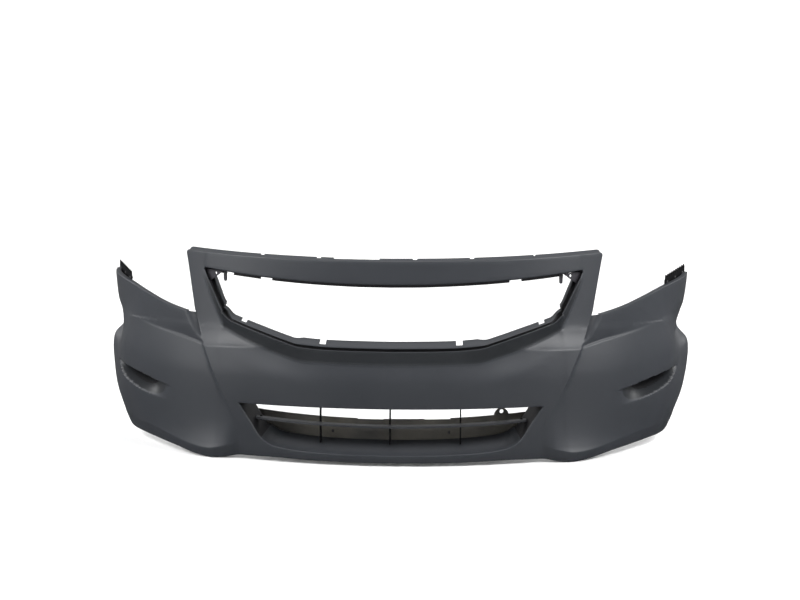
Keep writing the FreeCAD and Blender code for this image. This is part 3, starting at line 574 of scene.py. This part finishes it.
def add_returns(loop, names, hole, rim, vertices, faces, shade_plastic_faces):
    """Runs the return rings back from one loop and notes which strips take the dark plastic as painted
    shade.
    """
    previous = rim
    rings = return_rings(loop, names, hole)
    for number, ring in enumerate(rings):
        current = [len(vertices) + i for i in range(len(rim))]
        vertices += list(ring)
        last_strips = number >= len(rings) - 2
        for i in range(len(rim)):
            j = (i + 1) % len(rim)
            gaps = GAPS.get(names[i], []) if last_strips else []
            if any(abs(ring[i][0] - middle) < half for middle, half in gaps):
                continue
            first, last = SHADED_STRIPS.get(names[i], NEVER)
            if first <= number <= last:
                shade_plastic_faces.append(len(faces))
            faces.append((previous[i], previous[j], current[j], current[i]))
        previous = current


def build_skin_mesh():
    """The skin with its openings and returns as one sheet of triangles and quads."""
    loops = [outer_loop(), grille_loop(), intake_loop()]
    out, faces, rims = flat_triangles(loops)
    vertices = list(skin(out[:, 0] / ROUND, out[:, 1]))
    x, z = front_place(np.array([out[list(face)].mean(axis=0) for face in faces]))
    hollow = scoop(x, z)
    # Painted shade in the fog scoops and on the grille facet: deep scoop faces take the dark plastic,
    # shallower scoop faces and the facet the darker primer.
    shade_plastic_faces = list(np.flatnonzero(hollow > DEEP_SHADE_DEPTH))
    shallow = (hollow > SHADE_PRIMER_DEPTH) & (hollow <= DEEP_SHADE_DEPTH)
    shade_primer_faces = list(np.flatnonzero((facet(x, z) > 0.6) | shallow))
    for (loop, names), rim, hole in zip(loops, rims, (False, True, True)):
        add_returns(loop, names, hole, rim, vertices, faces, shade_plastic_faces)
    return np.array(vertices), faces, shade_plastic_faces, shade_primer_faces


def make_skin(material, unprimed_and_shade_material, shade_primer_material):
    """The fascia's skin as a piece with a wall; it takes the place of the CAD node."""
    vertices, faces, shade_plastic_faces, shade_primer_faces = build_skin_mesh()
    piece = add_mesh("fascia_skin", vertices, faces, material)
    # Slot 1 paints shade deep in the scoops and on the inner return strips; slot 2 paints shade on the
    # grille facet and the scoops' shallower part.
    for slot, (other, members) in enumerate([(unprimed_and_shade_material, shade_plastic_faces), (shade_primer_material, shade_primer_faces)], 1):
        piece.data.materials.append(other)
        for index in members:
            piece.data.polygons[int(index)].material_index = slot
    work = bmesh.new()
    work.from_mesh(piece.data)
    bmesh.ops.recalc_face_normals(work, faces=work.faces)
    front = max(work.faces, key=lambda f: -f.calc_center_median().y)
    if front.normal.y > 0:
        bmesh.ops.reverse_faces(work, faces=work.faces)
    work.to_mesh(piece.data)
    work.free()
    wall = piece.modifiers.new("wall", "SOLIDIFY")
    wall.thickness = WALL * MM
    wall.offset = -1.0
    wall.material_offset = 1
    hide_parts("fascia")
    return piece


# ---------------------------------------------------------------- materials


def new_material(name):
    """A material with its nodes, links and shader."""
    material = bpy.data.materials.new(name)
    material.use_nodes = True
    nodes, links = material.node_tree.nodes, material.node_tree.links
    return material, nodes, links, nodes["Principled BSDF"]


def mottled(nodes, links, scale, dark, light):
    """A colour that drifts between two tones over the surface."""
    place = nodes.new("ShaderNodeTexCoord")
    noise = nodes.new("ShaderNodeTexNoise")
    noise.inputs["Scale"].default_value = scale
    noise.inputs["Detail"].default_value = 4.0
    ramp = nodes.new("ShaderNodeValToRGB")
    ramp.color_ramp.elements[0].position = 0.32
    ramp.color_ramp.elements[0].color = (*dark, 1.0)
    ramp.color_ramp.elements[1].position = 0.68
    ramp.color_ramp.elements[1].color = (*light, 1.0)
    links.new(place.outputs["Object"], noise.inputs["Vector"])
    links.new(noise.outputs["Fac"], ramp.inputs["Fac"])
    return place, noise, ramp


def grained(nodes, links, place, shader, scale, strength, distance):
    """Fine surface grain through bump."""
    grain = nodes.new("ShaderNodeTexNoise")
    grain.inputs["Scale"].default_value = scale
    grain.inputs["Detail"].default_value = 3.0
    bump = nodes.new("ShaderNodeBump")
    bump.inputs["Strength"].default_value = strength
    bump.inputs["Distance"].default_value = distance
    links.new(place.outputs["Object"], grain.inputs["Vector"])
    links.new(grain.outputs["Fac"], bump.inputs["Height"])
    links.new(bump.outputs["Normal"], shader.inputs["Normal"])


def primer_material(name, dark, light):
    """Satin primer, a little uneven in tone and gloss."""
    material, nodes, links, shader = new_material(name)
    place, noise, ramp = mottled(nodes, links, 3.0, dark, light)
    links.new(ramp.outputs["Color"], shader.inputs["Base Color"])
    rough = nodes.new("ShaderNodeMapRange")
    rough.inputs["To Min"].default_value = 0.40
    rough.inputs["To Max"].default_value = 0.50
    links.new(noise.outputs["Fac"], rough.inputs["Value"])
    links.new(rough.outputs["Result"], shader.inputs["Roughness"])
    shader.inputs["Specular IOR Level"].default_value = 0.42
    grained(nodes, links, place, shader, 900.0, 0.05, 0.0004)
    return material


def plastic_material(name, dark, light, roughness, scale=12.0, grain=700.0, strength=0.12,
                     shine=0.3):
    """Moulded plastic or a coated surface with a fine grain."""
    material, nodes, links, shader = new_material(name)
    shader.inputs["Specular IOR Level"].default_value = shine
    place, noise, ramp = mottled(nodes, links, scale, dark, light)
    links.new(ramp.outputs["Color"], shader.inputs["Base Color"])
    rough = nodes.new("ShaderNodeMapRange")
    rough.inputs["To Min"].default_value = roughness - 0.06
    rough.inputs["To Max"].default_value = roughness + 0.06
    links.new(noise.outputs["Fac"], rough.inputs["Value"])
    links.new(rough.outputs["Result"], shader.inputs["Roughness"])
    grained(nodes, links, place, shader, grain, strength, 0.0006)
    return material


PRIMER = primer_material("satin_primer", (0.026, 0.029, 0.035), (0.031, 0.034, 0.040))
# A darker primer that is painted shade: it darkens the down-leaning facet round the grille opening and the
# shallower part of the fog scoops.
SHADE_PRIMER = primer_material("shade_primer", (0.013, 0.015, 0.018), (0.017, 0.019, 0.022))
# Unpainted plastic, the real colour of the wall's inside; it also paints shade deep in the fog scoops and
# on the inner strips of the grille and intake returns.
UNPRIMED_AND_SHADE_PLASTIC = plastic_material("unprimed_and_shade_plastic", (0.012, 0.012, 0.014), (0.018, 0.018, 0.020), 0.62)
BLACK = plastic_material("black_plastic", (0.003, 0.003, 0.004), (0.006, 0.006, 0.007), 0.66,
                         shine=0.06)
BLADE = plastic_material("blade_plastic", (0.036, 0.038, 0.044), (0.046, 0.049, 0.055), 0.38,
                         shine=0.5)
GUIDE = plastic_material("guide_plastic", (0.066, 0.064, 0.060), (0.120, 0.113, 0.096), 0.62,
                         scale=8.0)
BRACKET = plastic_material("bracket_plastic", (0.026, 0.025, 0.030), (0.042, 0.040, 0.047), 0.55)
STEEL = plastic_material("coated_steel", (0.030, 0.030, 0.032), (0.055, 0.055, 0.058), 0.38)
FLOOR = plastic_material("pale_floor", (0.95, 0.95, 0.95), (0.96, 0.96, 0.96), 0.85, scale=0.4,
                         grain=40.0, strength=0.01)
SLOTS = {"blade_plastic": BLADE, "black_plastic": BLACK, "guide_plastic": GUIDE,
         "bracket_plastic": BRACKET, "fastener": STEEL, "primer": PRIMER}

make_skin(PRIMER, UNPRIMED_AND_SHADE_PLASTIC, SHADE_PRIMER)

for entry in frame["record"]["subparts"]:
    node = frame["nodes"][entry["node"]]
    node.data.materials.clear()
    node.data.materials.append(SLOTS[entry["material_slot"]])

# ---------------------------------------------------------------- floor, light and camera


def add_floor():
    """A pale floor that curves up into a far wall."""
    side, depth, height, radius = 9.0, 7.0, 7.0, 2.4
    profile = [(-9.0, 0.0), (depth - radius, 0.0)]
    for k in range(1, 13):
        angle = 0.5 * math.pi * k / 12
        profile.append((depth - radius + radius * math.sin(angle), radius * (1 - math.cos(angle))))
    profile.append((depth, height))
    vertices = [(x, y, z) for x in (-side, side) for y, z in profile]
    count = len(profile)
    faces = [(i, i + 1, count + i + 1, count + i) for i in range(count - 1)]
    mesh = bpy.data.meshes.new("floor")
    mesh.from_pydata(vertices, [], faces)
    mesh.polygons.foreach_set("use_smooth", [True] * len(mesh.polygons))
    mesh.materials.append(FLOOR)
    floor = bpy.data.objects.new("floor", mesh)
    bpy.context.scene.collection.objects.link(floor)
    floor.visible_glossy = False


def add_light(name, place, target, width, depth, power):
    """A soft rectangular light at a place, turned towards its target."""
    lamp = bpy.data.lights.new(name, "AREA")
    lamp.shape = "RECTANGLE"
    lamp.size, lamp.size_y, lamp.energy = width, depth, power
    light = bpy.data.objects.new(name, lamp)
    bpy.context.scene.collection.objects.link(light)
    light.location = place
    light.rotation_euler = (Vector(target) - Vector(place)).to_track_quat("-Z", "Y").to_euler()


def add_camera():
    """The camera stands nearly four metres in front of the nose, a little above and to one side."""
    yaw, pitch, roll = 0.044, -0.11326646, -0.004
    place = Vector((203.0, -3917.95 - SETBACK, 917.92 + LIFT)) * MM
    heading = Matrix.Rotation(yaw, 3, "Z") @ Matrix.Rotation(pitch, 3, "X") @ Matrix.Rotation(roll, 3, "Y")
    right, ahead, up = heading.col[0], heading.col[1], heading.col[2]
    pose = Matrix((right, up, -ahead)).transposed().to_4x4()
    pose.translation = place
    lens = bpy.data.cameras.new("camera")
    lens.sensor_width = 36.0
    lens.lens = 64.44
    lens.clip_end = 60.0
    camera = bpy.data.objects.new("camera", lens)
    bpy.context.scene.collection.objects.link(camera)
    camera.matrix_world = pose
    bpy.context.scene.camera = camera


# Name, place, target, width, depth and power of each light.
LIGHTS = [
    ("left_high", (-2.6, -1.4, 2.6), (0.0, -0.1, 0.3), 1.4, 1.4, 84.0),
    ("right_high", (2.6, -1.4, 2.6), (0.0, -0.1, 0.3), 1.4, 1.4, 108.0),
    ("left_low", (-3.4, -2.0, 0.9), (0.0, 0.0, 0.3), 1.4, 1.4, 26.0),
    ("right_low", (3.4, -2.0, 0.9), (0.0, 0.0, 0.3), 1.4, 1.4, 12.0),
    ("front_high", (0.0, -4.6, 3.2), (0.0, 0.0, 0.3), 3.0, 1.0, 20.0),
    ("behind", (0.0, 1.4, 3.0), (0.0, 0.4, 0.3), 3.0, 1.2, 12.0),
    ("left_rim", (-3.0, 1.4, 1.6), (-0.8, 0.3, 0.3), 1.0, 1.0, 20.0),
    ("right_rim", (3.0, 1.4, 1.6), (0.8, 0.3, 0.3), 1.0, 1.0, 20.0),
    ("wall_box", (0.0, 2.6, 4.2), (0.0, 7.0, 1.6), 6.0, 2.0, 260.0),
]

add_floor()
for light in LIGHTS:
    add_light(*light)


def studio_world():
    """Soft light all round, strong from above and fading below the horizon."""
    world = bpy.data.worlds.new("studio")
    world.use_nodes = True
    nodes, links = world.node_tree.nodes, world.node_tree.links
    place = nodes.new("ShaderNodeTexCoord")
    split = nodes.new("ShaderNodeSeparateXYZ")
    span = nodes.new("ShaderNodeMapRange")
    span.inputs["From Min"].default_value = -0.55
    span.inputs["From Max"].default_value = 0.65
    span.inputs["To Min"].default_value = 0.02
    span.inputs["To Max"].default_value = 0.44
    links.new(place.outputs["Generated"], split.inputs["Vector"])
    links.new(split.outputs["Z"], span.inputs["Value"])
    links.new(span.outputs["Result"], nodes["Background"].inputs["Strength"])
    nodes["Background"].inputs["Color"].default_value = (1.0, 1.0, 1.0, 1.0)
    return world


bpy.context.scene.world = studio_world()
bpy.context.scene.view_settings.view_transform = "Standard"
add_camera()

bpy.context.view_layer.update()
